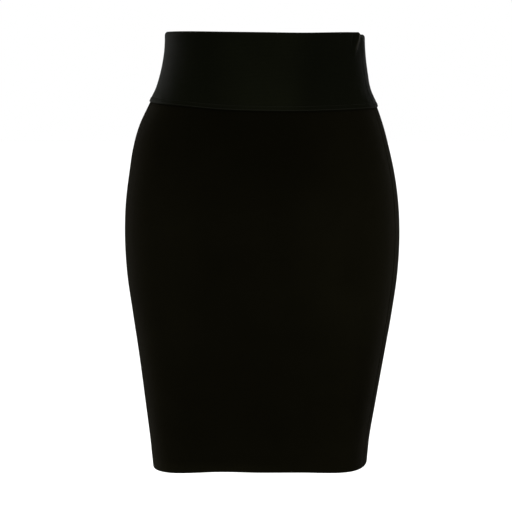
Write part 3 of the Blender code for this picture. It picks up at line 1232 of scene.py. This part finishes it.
def allowance(name, forward, way, middle, half):
    """A strip inside a side seam, lying towards the back. way is 1 at the wearer's left."""
    behind, thin = COLUMNS[::way, None], THINNED[::way, None, None]
    face, lining = middle + half * thin, middle - half * thin
    height, out = np.moveaxis(np.concatenate((face, lining[:, ::-1]), axis=1), -1, 0)
    seam_at, _ = seam(forward, height)
    around = surface(seam_at + 0.5, height) - surface(seam_at - 0.5, height)
    angle = way * (seam_at + behind / np.linalg.norm(around, axis=-1))
    points = moved_out(angle, height, out)
    strip = shell(name, points, *flat_places(angle, height, points))
    set_numbers(strip, STRETCH_AND_SHADE, np.full_like(height, 0.5))
    set_numbers(strip, RIB_PLACE, (RIM - height) / (100 * MM))
    return strip


left, right = seam(LEFT_SEAM, 0.0)[0], -seam(RIGHT_SEAM, 0.0)[0]
left_jersey, right_jersey = edge("lap", left) + LAP, edge("lap", right) + LAP
left_tape = rolled_strip(edge("top", left) - NOTCH_DROP, left_jersey)
right_tape = rolled_strip(edge("top", right), right_jersey)
strips = {
    "left_seam_allowance": (LEFT_SEAM, 1, *straight_strip(left_jersey)),
    "right_seam_allowance": (RIGHT_SEAM, -1, *straight_strip(right_jersey)),
    "left_tape_allowance": (LEFT_SEAM, 1, *left_tape),
    "right_tape_allowance": (RIGHT_SEAM, -1, *right_tape),
}
strips = {name: allowance(name, *how) for name, how in strips.items()}
for name, piece in strips.items():
    piece.data.materials.append(jersey if "seam" in name else elastic)
    print(name, len(piece.data.polygons) * 2, "triangles")

# %% [markdown]
# ## Camera
#
# The camera stands 3.5 m in front of the skirt, level with the waist, and looks slightly down.
# From so far away the lens has to be long, and the skirt is drawn with almost no perspective.

# %% Camera
EYE = (-11.2 * MM, -3500 * MM, -50 * MM)
AIM_HEIGHT = -275.4 * MM
SENSOR, LENS = 36, 192.8  # millimetres
FAR = 200  # metres, past the end of the floor

camera_data = bpy.data.cameras.new("camera")
camera_data.sensor_width = SENSOR
camera_data.lens = LENS
camera_data.clip_end = FAR
camera = bpy.data.objects.new("camera", camera_data)
camera.location = EYE
looks_down = math.atan2(EYE[2] - AIM_HEIGHT, -EYE[1])
camera.rotation_euler = (math.pi / 2 - looks_down, 0, 0)
bpy.context.scene.collection.objects.link(camera)
bpy.context.scene.camera = camera
print(f"camera looks down {math.degrees(looks_down):.1f} degrees")

# %% [markdown]
# ## Studio
#
# Black cloth is lit by its surroundings more than by any lamp, so the studio is all white. Its
# floor is a pale square a metre below the waist, so large that its far edge can't be told from
# the room.

# %% Floor
FLOOR_LEVEL, FLOOR_REACH = -1.05, 40
PALE = (0.95, 0.95, 0.95, 1)

square = np.array([(-1, -1), (1, -1), (1, 1), (-1, 1)]) * FLOOR_REACH
corners = [(x, y, FLOOR_LEVEL) for x, y in square.tolist()]
floor_mesh = bpy.data.meshes.new("floor")
floor_mesh.from_pydata(corners, [], [(0, 1, 2, 3)])
floor = add_object("floor", floor_mesh)
paint = bpy.data.materials.new("pale_floor")
paint.use_nodes = True
paint_shader = paint.node_tree.nodes["Principled BSDF"]
paint_shader.inputs["Base Color"].default_value = PALE
paint_shader.inputs["Roughness"].default_value = 1.0
floor_mesh.materials.append(paint)
print("floor at", FLOOR_LEVEL, "m")

# %% [markdown]
# The room is a white background. A Light Path node tells the camera's own rays from the rest, so
# the room can look quite white and still give the cloth a little less light than that.

# %% White room
ROOM_SEEN, ROOM_LIGHT = 1.0, 0.6  # how bright the room looks, and how much light it gives
room = bpy.data.worlds.new("white_room")
room.use_nodes = True
tree = room.node_tree
backdrop = tree.nodes["Background"]
backdrop.inputs["Color"].default_value = (1, 1, 1, 1)
camera_ray = tree.nodes.new("ShaderNodeLightPath").outputs["Is Camera Ray"]
seen = math_node(tree, "MULTIPLY_ADD", camera_ray, ROOM_SEEN - ROOM_LIGHT, ROOM_LIGHT)
tree.links.new(seen, backdrop.inputs["Strength"])
bpy.context.scene.world = room
bpy.context.scene.view_settings.view_transform = "Standard"
print("room:", room.name)

# %% [markdown]
# Three large soft lights stand at the sides, where their light grazes the edges of the form and
# picks out the nap of the cloth. A wide sun from above shapes the waistband.

# %% Soft lights
SoftLight = namedtuple("SoftLight", "name place aim size power")
SOFT_LIGHTS = [  # metres and watts
    SoftLight("left_side", (-2.5, 1.9, 0.3), (0, 0, -0.1), 1.6, 85),
    SoftLight("right_back", (1.7, 2.6, 0.3), (0, 0, -0.1), 1.0, 9),
    SoftLight("right_front", (2.2, -1.6, 0.2), (0, 0, -0.25), 1.4, 25),
]
SUN_STRENGTH, SUN_WIDTH, SUN_LEAN = 2.6, 50, 28  # the last two in degrees


def soft_light(name, place, aim, size, power):
    """A square soft light that shines from a place at another."""
    data = bpy.data.lights.new(name, "AREA")
    data.size = size
    data.energy = power
    light = bpy.data.objects.new(name, data)
    light.location = place
    towards = np.array(aim) - np.array(place)
    level = math.hypot(towards[0], towards[1])
    light.rotation_euler = (
        math.pi / 2 - math.atan2(-towards[2], level),
        0,
        math.atan2(-towards[0], towards[1]),
    )
    bpy.context.scene.collection.objects.link(light)


for row in SOFT_LIGHTS:
    soft_light(*row)
sun_data = bpy.data.lights.new("overhead", "SUN")
sun_data.energy = SUN_STRENGTH
sun_data.angle = math.radians(SUN_WIDTH)
sun = bpy.data.objects.new("overhead", sun_data)
sun.rotation_euler = (math.radians(SUN_LEAN), 0, 0)
bpy.context.scene.collection.objects.link(sun)
print(len(SOFT_LIGHTS), "soft lights and a sun")

# %% [markdown]
# ## What stands for what
#
# Each new piece replaces the imported wall of the same form and rides on the skirt's one body.

# %% Tie the pieces to the frame
DRESSED = [
    (front_panel, "skirt_front", "jersey"),
    (back_panel, "skirt_back", "jersey"),
    (front_tape, "waistband_front", "elastic"),
    (back_tape, "waistband_back", "elastic"),
]
for piece, packed_node, slot in DRESSED:
    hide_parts(packed_node)
    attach(piece, "root")
for piece in (*band_sewing["front"], *band_sewing["back"], *strips.values()):
    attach(piece, "root")
print(len(DRESSED), "packed walls replaced")

# %% [markdown]

# %% The four pieces of cloth
print("4 pieces of cloth")
